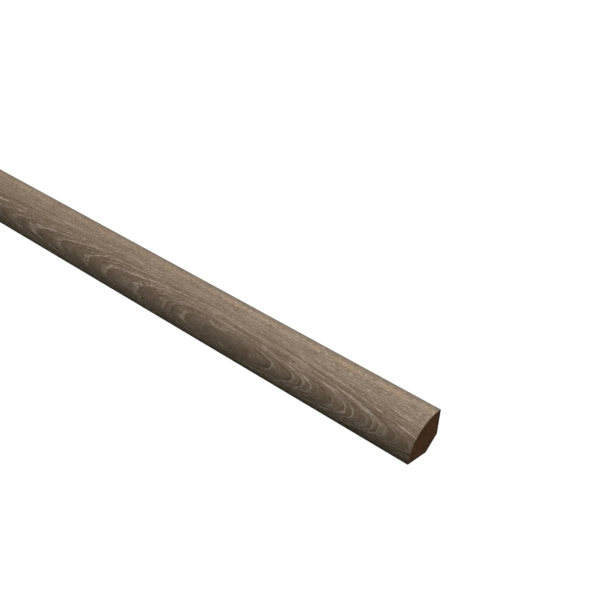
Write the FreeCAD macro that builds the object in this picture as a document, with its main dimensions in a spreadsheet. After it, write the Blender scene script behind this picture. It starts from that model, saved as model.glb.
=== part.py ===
"""Quarter round moulding: one straight length of wooden floor trim, lying as it is fitted.

The section is a true quarter circle whose centre is the corner between the floor face and the wall face.
That hidden corner is cut back by a 45 degree heel flat, so that the stock seats over an untidy joint.
+X runs along the stock, +Y points at the wall and +Z points up. The origin is on the floor face, halfway
along the stock and halfway across its width. Sizes are in millimetres.
"""

import FreeCAD, Part
import os

import Sketcher

NODE = "quarter_round_moulding"

# Driving dimensions: alias, value and what it measures
DIMENSIONS = (
    ("stock_length", 1981.2, "length of one piece as it is sold, 78 in"),
    ("face_radius", 19.05, "radius of the round face, so also the width and the height, 3/4 in"),
    ("heel_flat", 6.5, "how far the 45 degree heel flat reaches along the floor face and up the wall face"),
    ("arris_radius", 0.3, "easing of the two long edges where the round face meets the flat faces"),
)

# Point positions of sketch geometry, and the sketch's own origin and horizontal axis
START, END, CENTRE = 1, 2, 3
SKETCH_ORIGIN = (-1, 1)
HORIZONTAL_AXIS = -1


def add_dimension_sheet(doc):
    """Write the driving dimensions into a spreadsheet, one row for each."""
    sheet = doc.addObject("Spreadsheet::Sheet", "dims")
    for row, (alias, value, meaning) in enumerate(DIMENSIONS, start=1):
        sheet.set(f"A{row}", alias)
        sheet.set(f"B{row}", str(value))
        sheet.setAlias(f"B{row}", alias)
        sheet.set(f"C{row}", meaning)
    doc.recompute()
    return sheet


def origin_plane(body, role):
    """Return the body's own origin plane with that role."""
    return next(plane for plane in body.Origin.OriginFeatures if plane.Role == role)


def bind(sketch, name, constraint, expression):
    """Add a named dimension to the sketch and tie it to the spreadsheet."""
    index = sketch.addConstraint(constraint)
    sketch.renameConstraint(index, name)
    sketch.setExpression(f"Constraints.{name}", expression)


def draw_section(body, sheet):
    """Sketch the closed section across the stock: floor face, heel flat, wall face and round face."""
    sketch = body.newObject("Sketcher::SketchObject", "Section")
    sketch.AttachmentSupport = (origin_plane(body, "YZ_Plane"), "")
    sketch.MapMode = "FlatFace"

    radius = sheet.face_radius
    flat = sheet.heel_flat
    corner = FreeCAD.Vector(radius / 2, 0, 0)
    toe = corner - FreeCAD.Vector(radius, 0, 0)
    tip = corner + FreeCAD.Vector(0, radius, 0)
    floor_heel = corner - FreeCAD.Vector(flat, 0, 0)
    wall_heel = corner + FreeCAD.Vector(0, flat, 0)
    round_middle = corner + (toe - corner + tip - corner).normalize() * radius

    floor_face = sketch.addGeometry(Part.LineSegment(toe, floor_heel))
    heel_face = sketch.addGeometry(Part.LineSegment(floor_heel, wall_heel))
    wall_face = sketch.addGeometry(Part.LineSegment(wall_heel, tip))
    round_face = sketch.addGeometry(Part.Arc(tip, round_middle, toe))

    for constraint in (
        Sketcher.Constraint("Coincident", floor_face, END, heel_face, START),
        Sketcher.Constraint("Coincident", heel_face, END, wall_face, START),
        Sketcher.Constraint("Coincident", wall_face, END, round_face, START),
        Sketcher.Constraint("Coincident", round_face, END, floor_face, START),
        Sketcher.Constraint("PointOnObject", floor_face, START, HORIZONTAL_AXIS),
        Sketcher.Constraint("PointOnObject", floor_face, END, HORIZONTAL_AXIS),
        Sketcher.Constraint("Vertical", wall_face),
        Sketcher.Constraint("PointOnObject", round_face, CENTRE, HORIZONTAL_AXIS),
        Sketcher.Constraint("Vertical", round_face, CENTRE, wall_face, END),
    ):
        sketch.addConstraint(constraint)

    bind(sketch, "face_radius", Sketcher.Constraint("Radius", round_face, radius), "dims.face_radius")
    bind(
        sketch,
        "corner_from_middle",
        Sketcher.Constraint("DistanceX", *SKETCH_ORIGIN, round_face, CENTRE, radius / 2),
        "dims.face_radius / 2",
    )
    bind(
        sketch,
        "heel_flat_along_floor",
        Sketcher.Constraint("DistanceX", floor_face, END, round_face, CENTRE, flat),
        "dims.heel_flat",
    )
    bind(
        sketch,
        "heel_flat_up_wall",
        Sketcher.Constraint("DistanceY", round_face, CENTRE, wall_face, START, flat),
        "dims.heel_flat",
    )
    return sketch


def extrude_stock(body, sketch):
    """Run the section along the stock, half its length to each side of the origin."""
    stock = body.newObject("PartDesign::Pad", "Stock")
    stock.Profile = sketch
    stock.SideType = "Symmetric"
    stock.setExpression("Length", "dims.stock_length")
    return stock


def long_edges_of_round_face(shape):
    """Return the names of the two straight edges that bound the round face along the stock."""
    round_face = next(face for face in shape.Faces if isinstance(face.Surface, Part.Cylinder))
    straight = [edge for edge in round_face.Edges if isinstance(edge.Curve, Part.Line)]
    return [
        f"Edge{number}"
        for number, edge in enumerate(shape.Edges, start=1)
        if any(edge.isSame(bound) for bound in straight)
    ]


def ease_arrises(body, stock):
    """Round off the sharp tip and toe edges of the round face, as planed and wrapped stock is."""
    arris = body.newObject("PartDesign::Fillet", "EasedArrises")
    arris.Base = (stock, long_edges_of_round_face(stock.Shape))
    arris.setExpression("Radius", "dims.arris_radius")
    return arris


def build_moulding(doc, sheet):
    """Build the moulding as one body: section, stock length, eased arrises."""
    body = doc.addObject("PartDesign::Body", "Moulding")
    body.Label = NODE
    section = draw_section(body, sheet)
    stock = extrude_stock(body, section)
    doc.recompute()
    body.Tip = ease_arrises(body, stock)
    body.Placement = FreeCAD.Placement()
    doc.recompute()
    return body


def check_document(doc, bodies):
    """Stop before anything is written if a feature failed or a body is no valid single solid."""
    for feature in doc.Objects:
        if {"Invalid", "Error"} & set(feature.State):
            raise RuntimeError(f"{feature.Label} failed: {feature.State}")
    for body in bodies:
        if body.Shape.isNull() or not body.Shape.isValid() or len(body.Shape.Solids) != 1:
            raise RuntimeError(f"{body.Label} is not one valid solid")


def main():
    """Build the document, check it and write one STEP file for each body."""
    doc = FreeCAD.newDocument("quarter_round")
    sheet = add_dimension_sheet(doc)
    bodies = [build_moulding(doc, sheet)]
    check_document(doc, bodies)
    os.makedirs("parts", exist_ok=True)
    for body in bodies:
        body.Shape.exportStep(f"parts/{body.Label}.step")
        box = body.Shape.BoundBox
        print(f"{body.Label}: {box.XLength:.2f} x {box.YLength:.3f} x {box.ZLength:.3f} mm, "
              f"{body.Shape.Volume / 1000:.2f} cm3")


main()
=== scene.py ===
"""Looks of one length of quarter round floor trim: a limed oak face over a plain brown core.

Lengths are in millimetres unless a docstring says metres, and meshes are in metres. Angles in the classes'
fields are in degrees. A station is the distance from the near end along the stock. An arc is the distance
from the tip, where the round face meets the wall, down the round face towards its toe on the floor.
"""

import logging
import math
from bisect import bisect
from dataclasses import dataclass
from enum import Enum, IntEnum
from functools import reduce

import bmesh
import bpy
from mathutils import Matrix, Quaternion, Vector, noise


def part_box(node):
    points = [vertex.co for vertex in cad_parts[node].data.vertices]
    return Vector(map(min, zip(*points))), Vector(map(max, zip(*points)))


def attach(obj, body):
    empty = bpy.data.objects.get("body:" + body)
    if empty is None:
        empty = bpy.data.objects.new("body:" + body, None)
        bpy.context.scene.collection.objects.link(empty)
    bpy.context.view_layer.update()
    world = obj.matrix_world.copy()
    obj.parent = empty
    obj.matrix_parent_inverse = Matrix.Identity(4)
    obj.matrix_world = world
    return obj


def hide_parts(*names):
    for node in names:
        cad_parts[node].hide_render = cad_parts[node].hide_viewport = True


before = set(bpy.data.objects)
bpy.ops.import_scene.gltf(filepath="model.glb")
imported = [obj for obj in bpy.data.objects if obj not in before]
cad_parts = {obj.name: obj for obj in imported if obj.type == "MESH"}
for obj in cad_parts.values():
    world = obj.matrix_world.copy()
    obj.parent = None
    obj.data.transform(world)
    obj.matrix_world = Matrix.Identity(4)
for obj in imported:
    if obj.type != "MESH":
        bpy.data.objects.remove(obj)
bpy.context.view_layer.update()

NODE = "quarter_round_moulding"
BODY = "root"
MM = 0.001
NOISE_MEAN = 0.5
HALF_TURN = 0.5
RING_LAYER = "ring_radius"
ROUND_LAYER = "round_the_outline"
BAKE_MAP = "OFBake"

LOG = logging.getLogger("quarter_round")

Triple = tuple[float, float, float]
Line = tuple[tuple[float, float], ...]
Socket = bpy.types.NodeSocket
Feed = Socket | float | Triple


def linear(red: int, green: int, blue: int) -> Triple:
    """Turn a colour as it is read on a screen, 0 to 255, into a linear one.

    Args:
        red: Red, 0 to 255.
        green: Green, 0 to 255.
        blue: Blue, 0 to 255.

    Returns:
        The linear colour, 0 to 1.
    """

    def channel(level: int) -> float:
        """Decode one sRGB channel."""
        share = level / 255
        return share / 12.92 if share <= 0.04045 else ((share + 0.055) / 1.055) ** 2.4

    return channel(red), channel(green), channel(blue)


def clamp(value: float) -> float:
    """Hold a value between 0 and 1."""
    return min(1.0, max(0.0, value))


@dataclass(frozen=True)
class Ease:
    """A smooth change from low, up to start, to high, from end on."""

    start: float
    end: float
    low: float = 0.0
    high: float = 1.0


@dataclass(frozen=True)
class Pattern:
    """A noise: its size along each axis, how many finer layers it has and how strong those are."""

    size: Triple
    detail: float = 2.0
    rough: float = 0.5


@dataclass(frozen=True)
class Wear:
    """A noise that wears a line away in spots.

    Left is what the noise leaves of the line, and loss is how much less of it a fully broken line keeps.
    """

    pattern: Pattern
    left: Ease
    loss: float


class NodeSheet:
    """One node tree, with short calls for the nodes that the finishes and the studio use."""

    def __init__(self, owner: bpy.types.Material | bpy.types.World) -> None:
        """Start an empty tree.

        Args:
            owner: The material or world that the tree belongs to.
        """
        owner.use_nodes = True
        self.tree = owner.node_tree
        self.tree.nodes.clear()

    def add(self, kind: str, **settings: object) -> bpy.types.Node:
        """Add a node.

        Args:
            kind: The node's type, without its ShaderNode prefix.
            settings: Properties to set on it.

        Returns:
            The new node.
        """
        node = self.tree.nodes.new(f"ShaderNode{kind}")
        for name, value in settings.items():
            setattr(node, name, value)
        return node

    def feed(self, socket: Socket, value: Feed) -> None:
        """Link a socket to another one, or set its constant.

        Args:
            socket: The input to feed.
            value: An output socket, a number, a colour or a vector.
        """
        if isinstance(value, Socket):
            self.tree.links.new(value, socket)
        elif isinstance(value, tuple) and socket.type == "RGBA":
            socket.default_value = (*value, 1.0)
        else:
            socket.default_value = value

    def fill(self, node: bpy.types.Node, *values: Feed) -> Socket:
        """Feed a node's first inputs.

        Args:
            node: The node.
            values: What goes into its inputs, in order.

        Returns:
            The node's first output.
        """
        for socket, value in zip(node.inputs, values):
            self.feed(socket, value)
        return node.outputs[0]

    def math(self, operation: str, *values: Feed) -> Socket:
        """Do one operation on numbers."""
        return self.fill(self.add("Math", operation=operation), *values)

    def times(self, *values: Feed) -> Socket:
        """Multiply numbers."""
        return reduce(lambda first, second: self.math("MULTIPLY", first, second), values)

    def total(self, *values: Feed) -> Socket:
        """Add numbers up."""
        return reduce(lambda first, second: self.math("ADD", first, second), values)

    def less(self, value: Feed, by: Feed) -> Socket:
        """Take a number from another one."""
        return self.math("SUBTRACT", value, by)

    def over(self, value: Feed, by: Feed) -> Socket:
        """Divide a number by another one."""
        return self.math("DIVIDE", value, by)

    def more(self, value: Feed, times: Feed, to: Feed) -> Socket:
        """Add a number to another one, so many times."""
        return self.math("MULTIPLY_ADD", value, times, to)

    def away(self, value: Feed, middle: float) -> Socket:
        """Find how far a number is from a middle one, either way."""
        return self.math("ABSOLUTE", self.less(value, middle))

    def sway(self, value: Feed, by: Socket, strength: Feed) -> Socket:
        """Sway a number both ways by a noise."""
        return self.more(self.less(by, NOISE_MEAN), strength, value)

    def ease(self, value: Feed, by: Ease, low: Feed | None = None) -> Socket:
        """Send a number through a smooth change.

        Args:
            value: The number.
            by: The change.
            low: What stands for the change's own low, if it isn't the same all over.

        Returns:
            The changed number.
        """
        node = self.add("MapRange", interpolation_type="SMOOTHSTEP")
        return self.fill(node, value, by.start, by.end, by.low if low is None else low, by.high)

    def vector(self, x: Feed, y: Feed, z: Feed = 0.0) -> Socket:
        """Join three numbers into a vector."""
        return self.fill(self.add("CombineXYZ"), x, y, z)

    def split(self, vector: Socket) -> tuple[Socket, ...]:
        """Take a vector apart.

        Args:
            vector: The vector.

        Returns:
            Its three numbers.
        """
        node = self.add("SeparateXYZ")
        self.fill(node, vector)
        return tuple(node.outputs)

    def place(self, scale: Triple, shift: Triple = (0.0, 0.0, 0.0)) -> Socket:
        """Read the place on the object.

        Args:
            scale: What each coordinate is multiplied by.
            shift: What is added then.

        Returns:
            The place.
        """
        node = self.add("Mapping")
        self.feed(node.inputs["Vector"], self.add("TexCoord").outputs["Object"])
        self.feed(node.inputs["Scale"], scale)
        self.feed(node.inputs["Location"], shift)
        return node.outputs[0]

    def noise(self, vector: Socket, pattern: Pattern) -> Socket:
        """Add a noise.

        Args:
            vector: Where it is read, in millimetres.
            pattern: What it is like.

        Returns:
            The noise, 0 to 1, about 0.5 in the mean.
        """
        shrink = tuple(1 / size for size in pattern.size)
        node = self.add("TexNoise", noise_dimensions="3D")
        shrunk = self.fill(self.add("VectorMath", operation="MULTIPLY"), vector, shrink)
        self.feed(node.inputs["Vector"], shrunk)
        self.feed(node.inputs["Scale"], 1.0)
        self.feed(node.inputs["Detail"], pattern.detail)
        self.feed(node.inputs["Roughness"], pattern.rough)
        return node.outputs[0]

    def curve(self, value: Socket, line: Line) -> Socket:
        """Send a number along a line of straight runs.

        Args:
            value: The number, 0 to 1.
            line: The line's corners, 0 to 1 each way, in order.

        Returns:
            The number on that line.
        """
        node = self.add("FloatCurve")
        points = node.mapping.curves[0].points
        while len(points) < len(line):
            points.new(0.5, 0.5)
        for point, corner in zip(points, line):
            point.location = corner
            point.handle_type = "VECTOR"
        node.mapping.update()
        self.feed(node.inputs["Value"], value)
        return node.outputs[0]

    def ramp(self, value: Socket, *colours: Triple) -> Socket:
        """Turn a number into a colour.

        Args:
            value: The number, 0 to 1.
            colours: The colours, at even distances.

        Returns:
            The colour.
        """
        node = self.add("ValToRGB")
        elements = node.color_ramp.elements
        while len(elements) < len(colours):
            elements.new(0.5)
        for number, (element, colour) in enumerate(zip(elements, colours)):
            element.position = number / (len(colours) - 1)
            element.color = (*colour, 1.0)
        return self.fill(node, value)

    def mix(self, share: Feed, first: Feed, second: Feed, blend: str = "MIX") -> Socket:
        """Mix two colours.

        Args:
            share: How much of the second shows.
            first: The first colour.
            second: The second colour.
            blend: The way of blending.

        Returns:
            The mixed colour.
        """
        node = self.add("Mix", data_type="RGBA", blend_type=blend)
        named = {socket.identifier: socket for socket in node.inputs}
        self.feed(named["Factor_Float"], share)
        self.feed(named["A_Color"], first)
        self.feed(named["B_Color"], second)
        return next(socket for socket in node.outputs if socket.identifier == "Result_Color")

    def show(self, output: str, shader: Socket) -> None:
        """Send a shader to a new output node."""
        self.feed(self.add(output).inputs["Surface"], shader)

    def finish(self, colour: Feed, roughness: Feed, specular: float, height: Socket,
               relief: float) -> None:
        """Add the shader and its bump.

        Args:
            colour: The base colour.
            roughness: The roughness.
            specular: The specular level.
            height: The height that the bump reads.
            relief: How high 1 is, in millimetres.
        """
        bump = self.add("Bump")
        self.feed(bump.inputs["Distance"], relief * MM)
        self.feed(bump.inputs["Height"], height)
        shader = self.add("BsdfPrincipled")
        self.feed(shader.inputs["Base Color"], colour)
        self.feed(shader.inputs["Roughness"], roughness)
        self.feed(shader.inputs["Specular IOR Level"], specular)
        self.feed(shader.inputs["Normal"], bump.outputs[0])
        self.show("OutputMaterial", shader.outputs[0])


@dataclass(frozen=True)
class Section:
    """The stock's cross-section, and where it stands in the frame."""

    face_radius: float = 19.05
    heel_flat: float = 6.5
    arris_radius: float = 0.3
    near_end: float = 0.0
    far_end: float = 0.0
    wall: float = 0.0
    floor: float = 0.0

    @classmethod
    def on(cls, node: str) -> "Section":
        """Place the section on a node of the frame.

        Args:
            node: The node's name.

        Returns:
            The placed section.
        """
        low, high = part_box(node)
        return cls(near_end=high.x / MM, far_end=low.x / MM, wall=high.y / MM, floor=low.z / MM)

    @property
    def length(self) -> float:
        """The stock's length."""
        return self.near_end - self.far_end

    @property
    def face_arc(self) -> float:
        """The round face's length from tip to toe."""
        return self.face_radius * math.pi / 2

    @property
    def corner(self) -> Vector:
        """The centre of the round face, where wall and floor meet, at the far end."""
        return Vector((self.far_end, self.wall, self.floor))

    def out_and_up(self, place: Vector) -> tuple[float, float]:
        """Find how far a point, in metres, is out from the wall and up from the floor."""
        return self.wall - place.y / MM, place.z / MM - self.floor

    def station_and_arc(self, place: Vector) -> tuple[float, float]:
        """Find a point of the round face along and across the grain.

        Args:
            place: The point, in metres.

        Returns:
            Its station and its arc.
        """
        out, up = self.out_and_up(place)
        return self.near_end - place.x / MM, self.face_radius * math.atan2(out, up)


@dataclass(frozen=True)
class GrowthRings:
    """The tree's rings as the round face cuts them.

    The heart of the tree runs almost along the stock, now under the round face and now in front of it, and
    a ring shows as an arch wherever the face leaves it. The crown is the line that the arches point along.
    Heart depths are given by station. Years are given by their start, from the heart, and by the lime that
    their first wood holds. Broad tones, also by distance from the heart, make years paler or darker.
    """

    crown_arc: float = 21.9
    heart_depths: Line = (
        (-60.0, 14.0), (0.0, 11.1), (20.0, 9.75), (62.0, 5.97), (80.0, 3.74), (110.0, 0.0), (137.8, -3.65),
        (153.0, -5.9), (174.0, -8.28), (196.5, -9.65), (213.0, -11.6), (236.0, -13.3), (276.0, -14.6),
        (400.0, -18.0), (520.0, -13.0), (640.0, -4.5), (700.0, 0.0), (770.0, 5.0), (920.0, 11.5),
        (1080.0, 13.5), (1240.0, 9.0), (1400.0, 0.0), (1500.0, -6.0), (1680.0, -12.5), (1860.0, -14.0),
        (2060.0, -9.0),
    )
    years: Line = (
        (0.0, 0.2), (1.9, 0.3), (3.65, 0.5), (5.3, 0.3), (5.9, 0.45), (6.35, 0.4), (7.0, 0.25),
        (7.6, 0.25), (8.28, 0.85), (8.68, 0.5), (9.15, 0.25), (9.65, 0.9), (9.92, 0.55), (10.6, 0.15),
        (11.6, 1.0), (12.1, 0.3), (12.7, 0.3), (13.3, 0.8), (14.0, 0.8), (14.6, 0.85), (15.1, 0.6),
        (16.0, 0.9), (17.2, 0.5), (18.7, 0.8), (20.1, 0.6), (21.5, 0.8), (23.0, 0.6), (24.6, 0.7),
        (26.0, 0.5), (28.0, 0.5),
    )
    broad_tones: Line = (
        (0.0, 0.0), (3.0, 0.0), (3.4, -0.08), (3.9, 0.0), (4.7, 0.05), (5.3, 0.0), (5.77, -0.06),
        (6.1, 0.0), (6.4, 0.11), (6.8, 0.0), (7.3, -0.1), (7.8, 0.0), (8.1, 0.11), (8.45, 0.04),
        (8.8, 0.0), (10.5, 0.0), (11.0, -0.12), (11.6, 0.0), (28.0, 0.0),
    )
    # How blunt the crowns are, and what the toe's side and a heart in front of the face change.
    blunt: float = 2.3
    more_blunt: float = 1.2
    front_depth: float = 1.0
    front_run: float = 4.0
    toe_run: float = 1.5
    toe_pull: float = 0.4
    # The tree's slow and quick irregularities, of which the quick ones are stronger aside from the crown.
    wander: float = 0.18
    slow_size: tuple[float, float] = (28.0, 6.0)
    slow_layer: float = 3.7
    quick_size: tuple[float, float] = (7.0, 2.2)
    quick_layer: float = 8.1
    quick_at_crown: float = 0.2
    quick_aside: float = 0.9
    aside_run: float = 4.0
    aside_start: float = 0.7

    @property
    def reach(self) -> float:
        """The largest ring's radius."""
        return self.years[-1][0]

    @property
    def count(self) -> int:
        """How many rings there are."""
        return len(self.years) - 1

    def heart_depth(self, station: float) -> float:
        """Find how far the heart lies under the round face.

        Args:
            station: The station.

        Returns:
            The depth, on a smooth line through the given depths.
        """
        known = self.heart_depths
        after = 2
        while station > known[after][0] and after < len(known) - 2:
            after += 1
        (s0, d0), (s1, d1), (s2, d2), (s3, d3) = known[after - 2:after + 2]
        run = s2 - s1
        share = (station - s1) / run
        lean1 = (d2 - d0) / (s2 - s0) * run
        lean2 = (d3 - d1) / (s3 - s1) * run
        square, cube = share ** 2, share ** 3
        return ((2 * cube - 3 * square + 1) * d1 + (cube - 2 * square + share) * lean1
                + (3 * square - 2 * cube) * d2 + (cube - square) * lean2)

    def radius(self, station: float, arc: float, depth: float) -> float:
        """Find a point's distance from the heart.

        Args:
            station: The point's station.
            arc: Its arc.
            depth: The heart's depth at that station.

        Returns:
            The distance, with the tree's small irregularities. Crowns are blunter than circles would give,
            the more so on the toe's side and wherever the heart stands in front of the face.
        """
        across = arc - self.crown_arc
        in_front = clamp((self.front_depth - depth) / self.front_run)
        below = clamp(across / self.toe_run)
        aside = clamp(abs(across) / self.aside_run - self.aside_start)
        blunt = self.blunt + self.more_blunt * max(in_front, below)
        spread = (1 + self.toe_pull * below) * across ** 4 / (across ** 2 + blunt ** 2)
        slow = self.irregular(station, arc, self.slow_size, self.slow_layer)
        quick = self.irregular(station, arc, self.quick_size, self.quick_layer)
        quick *= self.quick_at_crown + self.quick_aside * aside
        return max(0.0, math.sqrt(depth ** 2 + spread) + self.wander * (slow + quick))

    @staticmethod
    def irregular(station: float, arc: float, size: tuple[float, float], layer: float) -> float:
        """Read a noise on the face, given its size along and across the grain and its layer."""
        return noise.noise(Vector((station / size[0], arc / size[1], layer)))

    def since_start(self, radius: float) -> float:
        """Find how far a point at a distance from the heart is from the start of its ring."""
        return radius - self.years[bisect(self.years, (radius, 1.0)) - 1][0]


@dataclass(frozen=True)
class FacePlace:
    """A place on the round face, as sockets that the finish reads.

    Grain joins station and arc. Along and down are shares of the stock's length and of the face's arc, and
    across is the distance from the arches' crown. Radius is the distance from the tree's heart, and
    ringwise joins it with station and arc. Bloom says how far the lime spreads at the crown, 0 to 1.
    """

    sheet: NodeSheet
    station: Socket
    arc: Socket
    grain: Socket
    along: Socket
    down: Socket
    across: Socket
    radius: Socket
    ringwise: Socket
    bloom: Socket

    def by_station(self, ease: Ease) -> Socket:
        """Change along the stock."""
        return self.sheet.ease(self.station, ease)

    def by_arc(self, ease: Ease) -> Socket:
        """Change down the face."""
        return self.sheet.ease(self.arc, ease)

    def by_across(self, ease: Ease) -> Socket:
        """Change away from the crown."""
        return self.sheet.ease(self.across, ease)

    def by_radius(self, ease: Ease) -> Socket:
        """Change away from the heart."""
        return self.sheet.ease(self.radius, ease)

    def grained(self, pattern: Pattern) -> Socket:
        """Lay a noise along the grain."""
        return self.sheet.noise(self.grain, pattern)

    def ringed(self, pattern: Pattern) -> Socket:
        """Lay a noise along the rings."""
        return self.sheet.noise(self.ringwise, pattern)


@dataclass(frozen=True)
class YearLines:
    """Each year's first, open wood as a thin limed line, and its last, dense wood as a broad shade.

    The shoulder is the stretch of an arch beside its crown, where the lime lies in strokes.
    """

    # The line's width, and the strokes on its shoulder.
    least_radius: float = 0.1
    width_at_crown: float = 0.09
    width_aside: float = 0.2
    swelling: Pattern = Pattern((1.5, 40.0, 5.0), 1.0)
    swollen: Ease = Ease(0.5, 0.66, 1.0, 1.9)
    swollen_aside: Ease = Ease(1.5, 4.0, 1.0, 0.0)
    bloom_width: float = 3.0
    shoulder_from: Ease = Ease(2.0, 3.5)
    shoulder_to: Ease = Ease(5.0, 7.5, 1.0, 0.0)
    shoulder_in_bloom: float = -0.8
    strokes: Pattern = Pattern((0.5, 9.0, 6.0), 1.0)
    stroked: Ease = Ease(0.5, 0.62)
    stroke_gain: Ease = Ease(45.0, 65.0, 1.6, 2.0)
    lift_from: Ease = Ease(45.0, 65.0, -0.4, 0.7)
    lift_to: Ease = Ease(105.0, 130.0, 1.0, 0.0)
    # The line's edges, and what wears it down.
    sharp_edge: float = 0.03
    soft_edge: Ease = Ease(2.0, 4.0, 0.1, 0.0)
    onset: Ease = Ease(0.0, 1.0)
    fade: Ease = Ease(0.35, 1.2, 1.0, 0.0)
    patches: Pattern = Pattern((0.8, 17.0, 9.0))
    patched: Ease = Ease(0.36, 0.6, high=1.15)
    patched_aside: Ease = Ease(2.0, 5.0, 0.6, 0.12)
    broken_along: Ease = Ease(150.0, 235.0, 0.0, 0.9)
    dashes: Wear = Wear(Pattern((5.0, 0.8, 1.0), 1.0), Ease(0.44, 0.58, 1.0, 1.0), 0.7)
    blots: Wear = Wear(Pattern((5.0, 2.0, 1.0)), Ease(0.4, 0.6, 1.0, 1.0), 0.5)
    flecks: Wear = Wear(Pattern((1.8, 0.7, 1.0), 1.0), Ease(0.4, 0.6, 0.95, 1.3), 0.6)
    # Where the lime is fainter or stronger, and the late wood.
    faint_heart: Ease = Ease(3.8, 5.5, 0.85, 0.0)
    faint_side: Ease = Ease(0.5, 0.9)
    bloom_lime: float = 1.3
    faint_bloom: Ease = Ease(3.0, 5.0, -0.25, 0.0)
    late_part: Ease = Ease(0.4, 1.0)
    late_since: Ease = Ease(0.1, 0.7, 0.15, 1.0)
    edge_part: Ease = Ease(0.75, 0.95)
    edge_aside: Ease = Ease(3.5, 6.0, 0.0, 1.2)

    def draw(self, place: FacePlace, rings: GrowthRings) -> tuple[Socket, Socket]:
        """Draw the lines and the shades.

        Args:
            place: The place on the face.
            rings: The tree's rings.

        Returns:
            How much lime the open wood holds, and how dense the late wood is.
        """
        sheet = place.sheet
        turns = tuple((start / rings.reach, number / rings.count)
                      for number, (start, _) in enumerate(rings.years))
        starts = tuple((turn, start) for start, turn in turns)
        years = sheet.times(sheet.curve(sheet.over(place.radius, rings.reach), turns), rings.count)
        year = sheet.over(sheet.math("FLOOR", years), rings.count)
        since = sheet.less(place.radius, sheet.times(sheet.curve(year, starts), rings.reach))
        line = sheet.times(self.line(place, since), self.lime(place, rings, year))
        return line, self.late_wood(place, sheet.math("FRACT", years), since)

    def line(self, place: FacePlace, since: Socket) -> Socket:
        """Draw the start of each year.

        Args:
            place: The place on the face.
            since: The distance from the start of its year.

        Returns:
            How strong the line is.
        """
        sheet = place.sheet
        side = sheet.over(place.across, sheet.math("MAXIMUM", place.radius, self.least_radius))
        shoulder = sheet.times(place.by_across(self.shoulder_from), place.by_across(self.shoulder_to),
                               sheet.more(place.bloom, self.shoulder_in_bloom, 1.0))
        strokes = sheet.times(sheet.ease(place.ringed(self.strokes), self.stroked), shoulder)
        width = sheet.times(sheet.more(side, self.width_aside, self.width_at_crown), self.swell(place))
        width = sheet.more(width, strokes, width)
        edge = sheet.more(place.bloom, place.by_across(self.soft_edge), self.sharp_edge)
        line = sheet.times(sheet.ease(sheet.over(since, edge), self.onset),
                           sheet.ease(sheet.over(since, width), self.fade))
        line = self.wear_down(place, line)
        lift = sheet.times(place.by_station(self.lift_from), place.by_station(self.lift_to))
        line = sheet.times(line, sheet.more(shoulder, lift, 1.0))
        line = sheet.more(line, sheet.times(strokes, place.by_station(self.stroke_gain)), line)
        faint = sheet.times(place.by_radius(self.faint_heart), sheet.ease(side, self.faint_side))
        return sheet.times(line, sheet.less(1.0, faint))

    def swell(self, place: FacePlace) -> Socket:
        """Find how much wider the line is at the crown than its plain width.

        Args:
            place: The place on the face.

        Returns:
            The factor, which falls to 1 away from the crown.
        """
        sheet = place.sheet
        swelling = sheet.times(sheet.ease(place.ringed(self.swelling), self.swollen),
                               sheet.more(place.bloom, self.bloom_width, 1.0))
        return sheet.math("POWER", swelling, place.by_across(self.swollen_aside))

    def wear_down(self, place: FacePlace, line: Socket) -> Socket:
        """Break the line up into patches, dashes, blots and flecks.

        Args:
            place: The place on the face.
            line: The whole line.

        Returns:
            The worn line.
        """
        sheet = place.sheet
        patches = sheet.ease(place.ringed(self.patches), self.patched, place.by_across(self.patched_aside))
        line = sheet.times(line, patches)
        broken = place.by_station(self.broken_along)
        blooming = sheet.math("MAXIMUM", place.bloom, broken)
        for wear, where in ((self.dashes, broken), (self.blots, blooming), (self.flecks, blooming)):
            least = sheet.more(where, -wear.loss, wear.left.low)
            line = sheet.times(line, sheet.ease(place.grained(wear.pattern), wear.left, least))
        return line

    def lime(self, place: FacePlace, rings: GrowthRings, year: Socket) -> Socket:
        """Look up the lime that a year's first wood holds.

        Args:
            place: The place on the face.
            rings: The tree's rings.
            year: The year, as a share of all.

        Returns:
            The lime, more of it where it blooms.
        """
        sheet = place.sheet
        limes = tuple((number / rings.count, lime) for number, (_, lime) in enumerate(rings.years))
        lime = sheet.more(place.bloom, place.by_across(self.faint_bloom), sheet.curve(year, limes))
        return sheet.times(sheet.math("MAXIMUM", lime, 0.0), sheet.more(place.bloom, self.bloom_lime, 1.0))

    def late_wood(self, place: FacePlace, part: Socket, since: Socket) -> Socket:
        """Shade the end of each year.

        Args:
            place: The place on the face.
            part: The share of its year that has gone by.
            since: The distance from the start of its year.

        Returns:
            How dense the wood is.
        """
        sheet = place.sheet
        late = sheet.times(sheet.ease(part, self.late_part), sheet.ease(since, self.late_since))
        return sheet.more(sheet.ease(part, self.edge_part), place.by_across(self.edge_aside), late)


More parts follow.
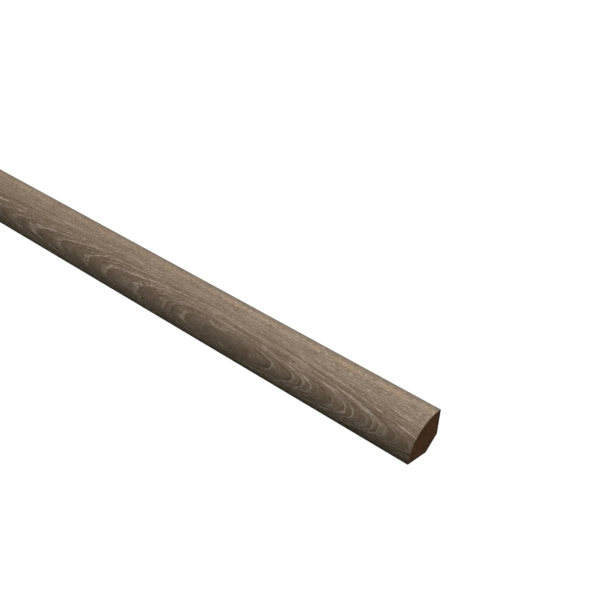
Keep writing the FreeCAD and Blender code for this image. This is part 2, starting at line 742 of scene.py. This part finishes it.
@dataclass(frozen=True)
class LimedOak:
    """Brushed oak, stained grey brown, with pale lime left in its pores.

    A tone, from 0 at the darkest to 1 at the palest, is summed up from the features below and then gets its
    colour. The flank is the straight grain beside the arches. Deep pores are given by station, lowest arc
    and half length, and pin knots by station and arc.
    """

    # Colours, and how the surface takes the light.
    deepest: Triple = linear(77, 61, 47)
    dense: Triple = linear(121, 103, 84)
    plain: Triple = linear(152, 133, 115)
    pale: Triple = linear(178, 160, 141)
    lime: Triple = linear(209, 190, 170)
    honey: Triple = linear(190, 161, 129)
    russet: Triple = linear(138, 112, 88)
    # tip is a painted shade colour: a grey for the shaded edge along the tip.
    tip: Triple = linear(128, 124, 114)
    # toe is a painted shade tint: an olive multiply for the shaded toe.
    toe: Triple = (0.93, 1.0, 0.93)
    knot: Triple = linear(84, 70, 58)
    specular: float = 0.03
    roughness: float = 0.6
    lime_roughness: float = 0.2
    relief: float = 0.03
    lime_height: float = -0.6
    pore_height: float = 0.5

    # Lime, where it lies and blooms, and how the rings are frayed.
    year_lines: YearLines = YearLines()
    lime_tone: float = 0.82
    lime_down: Line = (
        (0.0, 0.15), (0.28, 0.2), (0.4, 0.4), (0.5, 0.72), (0.62, 0.94), (0.7, 0.64), (0.78, 0.66),
        (0.88, 1.0), (1.0, 0.85),
    )
    bloom_along: Line = (
        (0.0, 0.0), (0.03, 0.04), (0.06, 0.15), (0.08, 1.0), (0.109, 1.0), (0.117, 0.55), (0.131, 0.4),
        (0.14, 0.15), (0.25, 0.2), (0.45, 0.4), (0.6, 1.0), (0.8, 0.1), (1.0, 0.5),
    )
    feather: Pattern = Pattern((7.0, 0.45, 1.0), 1.0)
    feather_least: float = 0.1
    feather_bloom: float = 0.4
    ripple: Pattern = Pattern((4.5, 2.0, 1.0), 1.0)
    ripple_aside: Ease = Ease(3.5, 6.0)
    ripple_along: Ease = Ease(25.0, 60.0, 1.1, 0.35)

    # Slow tones along the stock and down the face, with a pale streak by the tip and a fainter second one.
    slow_tones: Line = (
        (0.0, 0.61), (0.075, 0.55), (0.15, 0.49), (0.26, 0.48), (0.36, 0.53), (0.5, 0.47), (0.65, 0.54),
        (0.8, 0.47), (1.0, 0.52),
    )
    base_tone: float = -0.06
    streak_arc: float = 4.05
    streak_width: Ease = Ease(0.75, 1.7, 1.0, 0.0)
    streak_tone: Ease = Ease(115.0, 145.0, 0.105, 0.04)
    second_arc: float = 8.2
    second_width: Ease = Ease(0.5, 1.8, 1.0, 0.0)
    second_tone: Ease = Ease(45.0, 70.0, 0.06, 0.0)
    bloom_shade: Ease = Ease(4.5, 7.5, -0.06, 0.0)
    low_tone: Ease = Ease(85.0, 110.0, -0.055, 0.02)
    low_aside: Ease = Ease(6.5, 8.5, 1.0, 0.0)
    # Painted shade: a darker band along the tip's edge.
    painted_tip_shade: Ease = Ease(0.2, 1.8, -0.07, 0.0)
    # Painted shadow: a dark contact line along the toe's edge, by the floor.
    painted_toe_shadow: Ease = Ease(28.5, 29.2, 0.0, -0.25)

    # Tones that follow the rings.
    clear_along: Ease = Ease(105.0, 125.0, 1.0, 0.65)
    clear_heart: Ease = Ease(2.0, 4.0, 0.35, 1.0)
    clear_aside: Ease = Ease(3.0, 6.5)
    crown_aside: Ease = Ease(9.0, 15.0, 1.0, 0.3)
    late_tone: float = -0.09
    late_along: Ease = Ease(60.0, 150.0, 0.0, -0.1)
    late_aside: Ease = Ease(3.0, 5.5, 1.0, 0.0)
    heart_shade: Ease = Ease(1.0, 3.5, -0.08, 0.0)
    broad_along: Ease = Ease(90.0, 110.0, 1.0, 0.0)
    broad_aside: Ease = Ease(2.5, 4.5, 1.0, 0.0)
    seams: Pattern = Pattern((0.36, 90.0, 40.0), 1.0)
    seam_width: Ease = Ease(0.0, 0.07, 1.0, 0.0)
    seam_tone: float = 0.18
    arches: Pattern = Pattern((0.2, 40.0, 20.0), 2.0, 0.6)
    arch_sway: float = 0.4
    combs: Pattern = Pattern((0.55, 50.0, 30.0), 1.0)
    flank_from: Ease = Ease(3.5, 6.0, 0.0, 0.42)
    flank_to: Ease = Ease(12.0, 16.0, 1.0, 0.3)
    flank_tone: Ease = Ease(210.0, 250.0, 0.0, 0.12)

    # Tones that follow the grain.
    pores: Pattern = Pattern((2.1, 0.5, 1.0), 2.0, 0.6)
    pore_floor: float = 0.41
    pore_sway: float = 2.0
    pores_down: Line = (
        (0.0, 0.85), (0.16, 0.85), (0.26, 0.6), (0.45, 0.5), (0.6, 0.5), (0.72, 0.3), (0.85, 0.75),
        (1.0, 1.0),
    )
    fibres: Pattern = Pattern((14.0, 0.55, 1.0), 3.0, 0.65)
    fibre_sway: Ease = Ease(1.0, 5.0, 0.25, 0.44)
    mottle: Pattern = Pattern((12.0, 2.2, 1.0))
    mottle_sway: float = 0.35

    # Stains, deep pores and pin knots.
    honey_spots: Pattern = Pattern((14.0, 1.1, 1.0))
    honeyed: Ease = Ease(0.45, 0.64)
    honey_along: Ease = Ease(20.0, 140.0, 0.65, 0.36)
    russet_spots: Pattern = Pattern((10.0, 3.0, 5.0), 1.0)
    reddened: Ease = Ease(0.4, 0.65, 0.15, 0.5)
    russet_by_tone: Ease = Ease(0.45, 0.85, 1.0, 0.1)
    russet_down: Ease = Ease(21.5, 23.5, 1.0, 0.45)
    # Painted shade: how much of the grey tip colour shows along the tip's edge.
    painted_tip_shade_share: Ease = Ease(0.3, 2.8, 0.55, 0.0)
    # Painted shade: where the olive shade tint covers the toe.
    painted_toe_shade_tint: Ease = Ease(24.0, 28.5)
    deep_pores: tuple[Triple, ...] = (
        (117.0, 18.6, 7.0), (112.0, 25.0, 3.0), (655.0, 17.0, 7.0), (1188.0, 21.0, 5.0),
        (1733.0, 13.5, 6.0),
    )
    deep_pore_bow: float = 0.024
    deep_pore_width: Ease = Ease(0.1, 0.42, 1.0, 0.0)
    deep_pore_full: float = 0.3
    deep_pore_wear: Pattern = Pattern((1.5, 0.8, 1.0), 1.0)
    deep_pore_left: Ease = Ease(0.36, 0.58, 0.35, 1.0)
    knots: Line = ((93.5, 5.3), (604.0, 14.0), (1122.0, 8.5), (1651.0, 18.0))
    knot_length: float = 1.3
    knot_width: float = 0.6
    knot_share: Ease = Ease(0.3, 1.0, 0.8, 0.0)

    def material(self, section: Section, rings: GrowthRings) -> bpy.types.Material:
        """Make the finish.

        Args:
            section: The section that it covers.
            rings: The tree's rings.

        Returns:
            The material.
        """
        material = bpy.data.materials.new("limed_oak")
        sheet = NodeSheet(material)
        place = self.unroll(sheet, section, rings)
        limed, late = self.year_lines.draw(place, rings)
        limed = sheet.times(limed, sheet.curve(place.down, self.lime_down))
        crown = self.crown(place)
        streak = sheet.ease(sheet.away(place.arc, self.streak_arc), self.streak_width)
        pores = place.grained(self.pores)
        tone = sheet.total(self.slow_tone(place, streak), self.ring_tone(place, rings, late, crown),
                           self.fibre_tone(place, pores), sheet.times(limed, self.lime_tone))
        colour = self.stain(place, tone, streak, crown)
        colour = self.with_deep_pores(place, colour)
        colour = self.with_knots(place, colour)
        roughness = sheet.more(limed, self.lime_roughness, self.roughness)
        height = sheet.more(limed, self.lime_height, sheet.times(pores, self.pore_height))
        sheet.finish(colour, roughness, self.specular, height, self.relief)
        return material

    def unroll(self, sheet: NodeSheet, section: Section, rings: GrowthRings) -> FacePlace:
        """Unroll the round face.

        Args:
            sheet: The material's nodes.
            section: The section that it covers.
            rings: The tree's rings.

        Returns:
            The place on the face, with the distance from the heart feathered and rippled.
        """
        where = sheet.place((-1 / MM, -1 / MM, 1 / MM), (section.near_end, section.wall, -section.floor))
        station, out, up = sheet.split(where)
        arc = sheet.times(sheet.math("ARCTAN2", out, up), section.face_radius)
        grain = sheet.vector(station, arc)
        along = sheet.over(station, section.length)
        down = sheet.over(arc, section.face_arc)
        across = sheet.away(arc, rings.crown_arc)
        bloom = sheet.curve(along, self.bloom_along)
        radius = sheet.add("Attribute", attribute_name=RING_LAYER).outputs["Fac"]
        feathered = sheet.more(bloom, self.feather_bloom, self.feather_least)
        radius = sheet.sway(radius, sheet.noise(grain, self.feather), feathered)
        rippled = sheet.times(sheet.ease(across, self.ripple_aside),
                              sheet.ease(station, self.ripple_along))
        radius = sheet.sway(radius, sheet.noise(grain, self.ripple), rippled)
        radius = sheet.math("MAXIMUM", radius, 0.0)
        ringwise = sheet.vector(radius, station, arc)
        return FacePlace(sheet, station, arc, grain, along, down, across, radius, ringwise, bloom)

    def crown(self, place: FacePlace) -> Socket:
        """Find how clearly the rings show.

        Args:
            place: The place on the face.

        Returns:
            The clearness, 0 to 1, which is less near the heart and far from the crown.
        """
        sheet = place.sheet
        clear = sheet.times(place.by_station(self.clear_along), place.by_radius(self.clear_heart))
        clear = sheet.math("MAXIMUM", clear, place.by_across(self.clear_aside))
        return sheet.times(place.by_across(self.crown_aside), clear)

    def slow_tone(self, place: FacePlace, streak: Socket) -> Socket:
        """Sum up the slow changes of tone along the stock and down the face, with painted shade along the
        tip's edge and a painted shadow along the toe's edge.

        Args:
            place: The place on the face.
            streak: How much of the pale streak by the tip shows.

        Returns:
            The tone.
        """
        sheet = place.sheet
        second = sheet.ease(sheet.away(place.arc, self.second_arc), self.second_width)
        return sheet.total(
            sheet.curve(place.along, self.slow_tones),
            self.base_tone,
            sheet.times(streak, place.by_station(self.streak_tone)),
            sheet.times(second, place.by_station(self.second_tone)),
            sheet.times(place.bloom, place.by_across(self.bloom_shade)),
            sheet.times(place.by_station(self.low_tone), place.by_across(self.low_aside)),
            # Painted shade along the tip's edge.
            place.by_arc(self.painted_tip_shade),
            # Painted contact shadow along the toe's edge.
            place.by_arc(self.painted_toe_shadow),
        )

    def ring_tone(self, place: FacePlace, rings: GrowthRings, late: Socket, crown: Socket) -> Socket:
        """Sum up what follows the rings: late wood, pale seams, fine arches and the combed flank.

        Args:
            place: The place on the face.
            rings: The tree's rings.
            late: How dense the late wood is.
            crown: How clearly the rings show.

        Returns:
            The change of tone.
        """
        sheet = place.sheet
        deep = sheet.times(place.by_station(self.late_along), place.by_across(self.late_aside))
        deep = sheet.total(deep, self.late_tone)
        seams = sheet.ease(sheet.away(place.ringed(self.seams), NOISE_MEAN), self.seam_width)
        flank = sheet.times(place.by_across(self.flank_from), place.by_across(self.flank_to))
        tone = sheet.total(
            sheet.times(late, crown, deep),
            place.by_radius(self.heart_shade),
            sheet.times(seams, crown, self.seam_tone),
            sheet.times(flank, place.by_station(self.flank_tone)),
        )
        changes = tuple((start / rings.reach, NOISE_MEAN + change) for start, change in rings.broad_tones)
        broad = sheet.curve(sheet.over(place.radius, rings.reach), changes)
        near = sheet.times(place.by_station(self.broad_along), place.by_across(self.broad_aside))
        tone = sheet.sway(tone, broad, near)
        tone = sheet.sway(tone, place.ringed(self.arches), sheet.times(crown, self.arch_sway))
        return sheet.sway(tone, place.ringed(self.combs), flank)

    def fibre_tone(self, place: FacePlace, pores: Socket) -> Socket:
        """Sum up what follows the grain: pores, fibres and mottle.

        Args:
            place: The place on the face.
            pores: The pores' noise.

        Returns:
            The change of tone.
        """
        sheet = place.sheet
        strength = sheet.times(sheet.curve(place.down, self.pores_down), self.pore_sway)
        tone = sheet.sway(0.0, sheet.math("MAXIMUM", pores, self.pore_floor), strength)
        tone = sheet.sway(tone, place.grained(self.fibres), place.by_across(self.fibre_sway))
        return sheet.sway(tone, place.grained(self.mottle), self.mottle_sway)

    def stain(self, place: FacePlace, tone: Socket, streak: Socket, crown: Socket) -> Socket:
        """Colour a tone, with honey in the streak, russet in dark wood, painted grey shade along the tip
        and a painted olive shade tint on the toe.

        Args:
            place: The place on the face.
            tone: The tone.
            streak: How much of the pale streak by the tip shows.
            crown: How clearly the rings show.

        Returns:
            The colour.
        """
        sheet = place.sheet
        colour = sheet.ramp(tone, self.deepest, self.dense, self.plain, self.pale, self.lime)
        honey = sheet.times(sheet.ease(place.grained(self.honey_spots), self.honeyed),
                            place.by_station(self.honey_along), streak)
        colour = sheet.mix(honey, colour, self.honey)
        russet = sheet.times(sheet.ease(place.grained(self.russet_spots), self.reddened),
                             sheet.ease(tone, self.russet_by_tone), place.by_arc(self.russet_down), crown)
        colour = sheet.mix(russet, colour, self.russet)
        # Painted shade: greyer along the tip's edge.
        colour = sheet.mix(place.by_arc(self.painted_tip_shade_share), colour, self.tip)
        # Painted shade: an olive tint on the shaded toe.
        return sheet.mix(place.by_arc(self.painted_toe_shade_tint), colour, self.toe, "MULTIPLY")

    def with_deep_pores(self, place: FacePlace, colour: Socket) -> Socket:
        """Add the deep pores, each a thin limed stroke that bows towards the toe.

        Args:
            place: The place on the face.
            colour: The colour without them.

        Returns:
            The colour with them.
        """
        sheet = place.sheet
        left = sheet.ease(place.grained(self.deep_pore_wear), self.deep_pore_left)
        for middle, lowest, half in self.deep_pores:
            along = sheet.less(place.station, middle)
            square = sheet.times(along, along)
            over = sheet.more(square, self.deep_pore_bow, sheet.less(place.arc, lowest))
            ends = Ease(self.deep_pore_full * half ** 2, half ** 2, 1.0, 0.0)
            stroke = sheet.times(sheet.ease(sheet.math("ABSOLUTE", over), self.deep_pore_width),
                                 sheet.ease(square, ends), left)
            colour = sheet.mix(stroke, colour, self.lime)
        return colour

    def with_knots(self, place: FacePlace, colour: Socket) -> Socket:
        """Add the pin knots, each a dark speck drawn out along the grain.

        Args:
            place: The place on the face.
            colour: The colour without them.

        Returns:
            The colour with them.
        """
        sheet = place.sheet
        for station, arc in self.knots:
            along = sheet.over(sheet.less(place.station, station), self.knot_length)
            over = sheet.over(sheet.less(place.arc, arc), self.knot_width)
            away = sheet.math("SQRT", sheet.total(sheet.times(along, along), sheet.times(over, over)))
            colour = sheet.mix(sheet.ease(away, self.knot_share), colour, self.knot)
        return colour


class Cut(Enum):
    """How a bare face of the core was cut."""

    PLANED = "planed_core"
    SAWN = "sawn_core"


@dataclass(frozen=True)
class BareCore:
    """The plain brown core under the oak, with no finish on it."""

    cut: Cut
    brown: Triple = linear(126, 94, 66)
    dark: Triple = linear(94, 70, 48)
    red: Triple = linear(146, 101, 71)
    skin: Triple = linear(91, 78, 65)
    specular: float = 0.03
    roughness: float = 0.7
    speck_roughness: float = 0.2
    relief: float = 0.05
    planed_stretch: float = 6.0
    cloud_size: float = 5.0
    clouded: Ease = Ease(0.4, 0.65)
    speck_size: float = 0.9
    speck_rough: float = 0.7
    specked: Ease = Ease(0.42, 0.7, 0.0, 0.9)
    skin_share: Ease = Ease(0.32, 1.6, 0.95, 0.0)

    def material(self, section: Section) -> bpy.types.Material:
        """Make the finish.

        Args:
            section: The section that it fills.

        Returns:
            The material.
        """
        material = bpy.data.materials.new(self.cut.value)
        sheet = NodeSheet(material)
        where = sheet.place((1 / MM, 1 / MM, 1 / MM))
        clouds = sheet.noise(where, Pattern(self.drawn_out(self.cloud_size)))
        specks = sheet.noise(where, Pattern(self.drawn_out(self.speck_size), rough=self.speck_rough))
        colour = sheet.mix(sheet.ease(clouds, self.clouded), self.brown, self.red)
        colour = sheet.mix(sheet.ease(specks, self.specked), colour, self.dark)
        if self.cut is Cut.SAWN:
            colour = self.with_skin(sheet, section, where, colour)
        roughness = sheet.more(specks, self.speck_roughness, self.roughness)
        sheet.finish(colour, roughness, self.specular, specks, self.relief)
        return material

    def drawn_out(self, size: float) -> Triple:
        """Draw a noise out along the stock where the face was planed."""
        return (size * self.planed_stretch if self.cut is Cut.PLANED else size), size, size

    def with_skin(self, sheet: NodeSheet, section: Section, where: Socket, colour: Socket) -> Socket:
        """Darken the core's pressed skin, which shows on a sawn end along the three flat faces.

        Args:
            sheet: The material's nodes.
            section: The section that the core fills.
            where: The place, in millimetres.
            colour: The colour without the skin.

        Returns:
            The colour with it.
        """
        _, y, z = sheet.split(where)
        out = sheet.less(section.wall, y)
        up = sheet.less(z, section.floor)
        from_heel = sheet.times(sheet.less(sheet.total(out, up), section.heel_flat), math.sqrt(0.5))
        inside = sheet.math("MINIMUM", sheet.math("MINIMUM", out, up), from_heel)
        return sheet.mix(sheet.ease(inside, self.skin_share), colour, self.skin)


class Surface(IntEnum):
    """The moulding's surfaces, numbered as their finishes are."""

    ROUND = 0
    FLAT = 1
    END = 2


@dataclass(frozen=True)
class QuarterRound:
    """The moulding: one closed mesh with a brushed round face, eased arrises, flat backs and sawn ends."""

    section: Section
    rings: GrowthRings
    face_steps: int = 88
    arris_steps: int = 4
    rows: int = 720
    end_match: float = 0.9
    flat_match: float = 0.999
    crease: float = 30.0
    # The brushed pores, in the first wood of each year.
    pore_depth: float = 0.05
    pore_size: tuple[float, float] = (7.0, 0.6)
    pore_layer: float = 21.3
    open_wood: float = 0.4
    # The map for baking: strips of the long faces, and the two ends beside them, as shares of it.
    map_strips: int = 5
    map_margin: float = 0.01
    end_room: float = 0.06
    end_fill: float = 0.9
    end_margin: float = 0.05
    end_gap: float = 0.02
    # Which edges of the outline count as short or long there, and for how much.
    short_run: float = 0.2
    short_room: float = 0.3
    long_run: float = 1.0
    flat_room: float = 0.3
    name: str = "quarter_round"

    def build(self) -> bpy.types.Object:
        """Model the moulding.

        Returns:
            The piece, riding on its body and standing for its node.
        """
        shape = bmesh.new()
        outline = self.draw_outline(shape)
        self.measure_outline(shape)
        self.run_along(shape, outline)
        self.sort_faces(shape)
        self.brush_face(shape)
        self.lay_out_map(shape)
        mesh = bpy.data.meshes.new(self.name)
        shape.to_mesh(mesh)
        shape.free()
        piece = bpy.data.objects.new(self.name, mesh)
        bpy.context.scene.collection.objects.link(piece)
        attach(piece, BODY)
        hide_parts(NODE)
        return piece

    def draw_outline(self, shape: bmesh.types.BMesh) -> list[bmesh.types.BMEdge]:
        """Draw the closed section at the far end, from the wall face over the round face to the floor.

        Args:
            shape: The mesh under work.

        Returns:
            The outline's edges.
        """
        section = self.section
        easing = section.arris_radius
        inner = section.face_radius - easing
        tangent = math.asin(easing / inner)
        reach = inner * math.cos(tangent)
        corner = section.corner
        wall_heel = shape.verts.new((corner + Vector((0, 0, section.heel_flat))) * MM)
        tip = self.draw_to(shape, wall_heel, corner + Vector((0, 0, reach)))
        arris = math.pi / 2 - tangent
        tip = self.turn(shape, tip, corner + Vector((0, -easing, reach)), arris, self.arris_steps)
        toe = self.turn(shape, tip, corner, math.pi / 2 - 2 * tangent, self.face_steps)
        toe = self.turn(shape, toe, corner + Vector((0, -reach, easing)), arris, self.arris_steps)
        floor_heel = self.draw_to(shape, toe, corner + Vector((0, -section.heel_flat, 0)))
        bmesh.ops.contextual_create(shape, geom=[floor_heel, wall_heel])
        return list(shape.edges)

    def draw_to(self, shape: bmesh.types.BMesh, start: bmesh.types.BMVert,
                end: Vector) -> bmesh.types.BMVert:
        """Draw a straight line on from a vertex.

        Args:
            shape: The mesh under work.
            start: The vertex.
            end: The line's other end.

        Returns:
            The vertex there.
        """
        made = bmesh.ops.extrude_vert_indiv(shape, verts=[start])["verts"][0]
        made.co = end * MM
        return made

    def turn(self, shape: bmesh.types.BMesh, start: bmesh.types.BMVert, centre: Vector, angle: float,
             steps: int) -> bmesh.types.BMVert:
        """Draw an arc on from a vertex, turning about the stock's own direction.

        Args:
            shape: The mesh under work.
            start: The vertex.
            centre: The arc's centre.
            angle: How far it turns, in radians.
            steps: How many edges it has.

        Returns:
            The vertex at its other end.
        """
        made = bmesh.ops.spin(shape, geom=[start], cent=centre * MM, axis=(1, 0, 0), angle=angle,
                              steps=steps)
        return next(item for item in made["geom_last"] if isinstance(item, bmesh.types.BMVert))

    def measure_outline(self, shape: bmesh.types.BMesh) -> None:
        """Write each point's place round the outline, 0 to 1, with the round face given the most room.

        Args:
            shape: The mesh, with only its outline drawn.
        """
        layer = shape.verts.layers.float.new(ROUND_LAYER)
        verts = list(shape.verts)
        rooms = [self.room((after.co - vert.co).length / MM)
                 for vert, after in zip(verts, verts[1:] + verts[:1])]
        done = 0.0
        for vert, room in zip(verts, rooms):
            vert[layer] = done / sum(rooms)
            done += room

    def room(self, run: float) -> float:
        """Choose an outline edge's room on the map: more for a short arris one, less for a long flat one.

        Args:
            run: The edge's length.

        Returns:
            The length that it counts as.
        """
        if run <= self.short_run:
            return self.short_room
        return run if run < self.long_run else run * self.flat_room

    def run_along(self, shape: bmesh.types.BMesh, outline: list[bmesh.types.BMEdge]) -> None:
        """Run the outline along the stock in even rows, and close both ends.

        Args:
            shape: The mesh under work.
            outline: The outline's edges.
        """
        start = bmesh.ops.edgeloop_fill(shape, edges=outline)["faces"]
        # This extrusion makes its faces in the same order each run, and removes the one it starts from.
        cap = bmesh.ops.extrude_discrete_faces(shape, faces=start)["faces"][0]
        near = set(cap.verts)
        bmesh.ops.translate(shape, vec=(self.section.length * MM, 0, 0), verts=cap.verts)
        long_edges = [edge for edge in shape.edges if len(near.intersection(edge.verts)) == 1]
        bmesh.ops.edgeloop_fill(shape, edges=outline)
        bmesh.ops.subdivide_edges(shape, edges=long_edges, cuts=self.rows - 1, use_grid_fill=True)
        bmesh.ops.recalc_face_normals(shape, faces=shape.faces)

    def sort_faces(self, shape: bmesh.types.BMesh) -> None:
        """Give each face its finish and shade all smooth, with crisp edges where the flats meet.

        Args:
            shape: The mesh under work.
        """
        shape.normal_update()
        flats = (Vector((0, 0, -1)), Vector((0, 1, 0)), Vector((0, 1, -1)).normalized())
        for face in shape.faces:
            face.smooth = True
            if abs(face.normal.x) > self.end_match:
                face.material_index = Surface.END
            elif any(face.normal.dot(flat) > self.flat_match for flat in flats):
                face.material_index = Surface.FLAT
            else:
                face.material_index = Surface.ROUND
        for edge in shape.edges:
            edge.smooth = edge.calc_face_angle(0.0) < math.radians(self.crease)

    def brush_face(self, shape: bmesh.types.BMesh) -> None:
        """Write each point's distance from the tree's heart, and sink the open pores of the round face.

        Args:
            shape: The mesh under work.
        """
        layer = shape.verts.layers.float.new(RING_LAYER)
        section, rings = self.section, self.rings
        centre = section.corner * MM
        depths: dict[float, float] = {}
        for vert in shape.verts:
            station, arc = section.station_and_arc(vert.co)
            row = round(station, 2)
            if row not in depths:
                depths[row] = rings.heart_depth(station)
            radius = rings.radius(station, arc, depths[row])
            vert[layer] = radius
            if any(face.material_index == Surface.FLAT for face in vert.link_faces):
                continue
            share = max(0.0, 1 - rings.since_start(radius) / self.open_wood)
            pore = max(0.0, rings.irregular(station, arc, self.pore_size, self.pore_layer))
            outwards = Vector((0, vert.co.y - centre.y, vert.co.z - centre.z)).normalized()
            vert.co -= outwards * (self.pore_depth * share * pore * MM)

    def lay_out_map(self, shape: bmesh.types.BMesh) -> None:
        """Lay the long faces out in strips side by side, so that one square map holds the grain finely.

        Args:
            shape: The mesh under work.
        """
        layer = shape.loops.layers.uv.new(BAKE_MAP)
        place = shape.verts.layers.float[ROUND_LAYER]
        near_end = self.section.near_end
        strip_length = self.section.length / self.map_strips
        strip_width = (1.0 - self.end_room) / self.map_strips
        for face in shape.faces:
            middle = near_end - face.calc_center_median().x / MM
            strip = min(int(middle / strip_length), self.map_strips - 1)
            around = [loop.vert[place] for loop in face.loops]
            closing = max(around) - min(around) > HALF_TURN
            for loop in face.loops:
                if face.material_index == Surface.END:
                    loop[layer].uv = self.end_on_map(loop.vert.co, strip == 0)
                    continue
                along = (near_end - loop.vert.co.x / MM) / strip_length - strip
                turn = 1.0 if closing and loop.vert[place] < HALF_TURN else loop.vert[place]
                inset = self.map_margin + (1 - 2 * self.map_margin) * turn
                loop[layer].uv = (along, (strip + inset) * strip_width)

    def end_on_map(self, place: Vector, near: bool) -> tuple[float, float]:
        """Lay a point of an end face out beside the strips.

        Args:
            place: The point, in metres.
            near: Whether it is on the near end.

        Returns:
            Its place on the map.
        """
        out, up = (length / self.section.face_radius for length in self.section.out_and_up(place))
        left = self.end_gap if near else 2 * self.end_gap + self.end_room
        below = 1 - self.end_margin - self.end_fill * up
        return left + self.end_fill * out * self.end_room, 1 - self.end_room * below

    def dress(self, piece: bpy.types.Object) -> None:
        """Give the piece its finishes, in the order of its surfaces.

        Args:
            piece: The moulding.
        """
        piece.data.materials.append(LimedOak().material(self.section, self.rings))
        for cut in Cut:
            piece.data.materials.append(BareCore(cut).material(self.section))


@dataclass(frozen=True)
class PhotoCamera:
    """A camera at the photograph's viewpoint, given from the near end's corner between wall and floor."""

    ahead: float = 186.48
    aside: float = -312.32
    above: float = 269.18
    heading: float = 130.602
    dip: float = 29.618
    roll: float = 4.566
    focal_length: float = 63.24
    sensor: float = 36.0

    def build(self, section: Section) -> bpy.types.Object:
        """Place the camera and make it the scene's own.

        Args:
            section: The section that it looks at.

        Returns:
            The camera.
        """
        data = bpy.data.cameras.new("photo_camera")
        data.lens = self.focal_length
        data.sensor_width = self.sensor
        camera = bpy.data.objects.new("photo_camera", data)
        corner = Vector((section.near_end, section.wall, section.floor))
        camera.location = (corner + Vector((self.ahead, self.aside, self.above))) * MM
        heading, dip = math.radians(self.heading), math.radians(self.dip)
        level = math.cos(dip)
        sight = Vector((level * math.cos(heading), level * math.sin(heading), -math.sin(dip)))
        camera.rotation_mode = "QUATERNION"
        unrolled = sight.to_track_quat("-Z", "Y")
        camera.rotation_quaternion = unrolled @ Quaternion((0, 0, 1), math.radians(self.roll))
        bpy.context.scene.collection.objects.link(camera)
        bpy.context.scene.camera = camera
        return camera


@dataclass(frozen=True)
class Lamp:
    """A rectangular lamp with its long side along the stock. Its place, aim and size are in metres."""

    name: str
    place: Triple
    aim: Triple
    size: tuple[float, float]
    watts: float

    def build(self) -> bpy.types.Object:
        """Hang the lamp.

        Returns:
            The lamp.
        """
        data = bpy.data.lights.new(self.name, "AREA")
        data.shape = "RECTANGLE"
        data.size, data.size_y = self.size
        data.energy = self.watts
        lamp = bpy.data.objects.new(self.name, data)
        lamp.location = self.place
        lamp.rotation_mode = "QUATERNION"
        lamp.rotation_quaternion = (Vector(self.aim) - Vector(self.place)).to_track_quat("-Z", "Y")
        bpy.context.scene.collection.objects.link(lamp)
        return lamp


@dataclass(frozen=True)
class Studio:
    """A long soft light overhead, two low fills on the wall's side, and a white floor under a white sky.

    The floor's size and its drop below the stock are in metres. The shadow share is the part of its white
    that comes from the lamps, and the lamp light is how bright they make that part in the open.
    """

    lamps: tuple[Lamp, ...] = (
        Lamp("overhead_softbox", (0, 0, 2.0), (0, 0, 0), (6.0, 0.8), 70.0),
        Lamp("back_fill", (0, 2.0, 0.35), (0, 0, 0), (6.0, 0.4), 12.0),
        Lamp("wall_fill", (0, 2.0, 0.12), (0, 0, 0.01), (1.6, 0.2), 15.0),
    )
    white: Triple = (1.0, 1.0, 1.0)
    sky: float = 0.015
    floor_size: float = 30.0
    floor_drop: float = 0.00005
    floor_shade: float = 0.03
    floor_warmth: Triple = (1.0, 0.95, 0.7)
    shadow_share: float = 0.16
    lamp_light: float = 0.45

    def build(self) -> bpy.types.Object:
        """Light the scene.

        Returns:
            The floor.
        """
        for lamp in self.lamps:
            lamp.build()
        self.paint_sky()
        bpy.context.scene.view_settings.view_transform = "Standard"
        return self.lay_floor()

    def paint_sky(self) -> None:
        """Make the world white to look at and dim as a light."""
        world = bpy.data.worlds.new("studio_sky")
        sheet = NodeSheet(world)
        seen = self.seen(sheet)
        strength = sheet.fill(sheet.add("MapRange"), seen, 0.0, 1.0, self.sky, 1.0)
        background = sheet.fill(sheet.add("Background"), self.white, strength)
        sheet.show("OutputWorld", background)
        bpy.context.scene.world = world

    def seen(self, sheet: NodeSheet) -> Socket:
        """Tell rays that look at a surface from rays that light one.

        Args:
            sheet: The nodes to add to.

        Returns:
            1 for camera, glossy and transmission rays, and 0 for the rest.
        """
        path = sheet.add("LightPath").outputs
        looks = sheet.math("MAXIMUM", path["Is Camera Ray"], path["Is Glossy Ray"])
        return sheet.math("MAXIMUM", looks, path["Is Transmission Ray"])

    def lay_floor(self) -> bpy.types.Object:
        """Lay the floor just under the stock.

        Returns:
            The floor.
        """
        shape = bmesh.new()
        bmesh.ops.create_grid(shape, x_segments=1, y_segments=1, size=self.floor_size / 2)
        bmesh.ops.translate(shape, vec=(0, 0, -self.floor_drop), verts=shape.verts)
        mesh = bpy.data.meshes.new("floor")
        shape.to_mesh(mesh)
        shape.free()
        floor = bpy.data.objects.new("floor", mesh)
        bpy.context.scene.collection.objects.link(floor)
        mesh.materials.append(self.floor_paint())
        return floor

    def floor_paint(self) -> bpy.types.Material:
        """Make the floor white to look at, with a faint shadow, and too dark as a light to fill the toe.

        Returns:
            The material.
        """
        paint = bpy.data.materials.new("white_floor")
        sheet = NodeSheet(paint)
        lit = (self.shadow_share, self.shadow_share, self.shadow_share)
        dark = tuple(self.floor_shade * share for share in self.floor_warmth)
        glow = sheet.fill(sheet.add("Emission"), self.white, 1.0 - self.shadow_share * self.lamp_light)
        shown = sheet.fill(sheet.add("AddShader"), glow, sheet.fill(sheet.add("BsdfDiffuse"), lit))
        dim = sheet.fill(sheet.add("BsdfDiffuse"), dark)
        choice = sheet.fill(sheet.add("MixShader"), self.seen(sheet), dim, shown)
        sheet.show("OutputMaterial", choice)
        return paint


def main() -> None:
    """Build the moulding, its studio and the camera."""
    logging.basicConfig(level=logging.INFO, format="%(name)s: %(message)s")
    section = Section.on(NODE)
    moulding = QuarterRound(section, GrowthRings())
    piece = moulding.build()
    moulding.dress(piece)
    LOG.info("%s: %d faces, %.1f mm long", piece.name, len(piece.data.polygons), section.length)
    PhotoCamera().build(section)
    Studio().build()


if __name__ == "__main__":
    main()
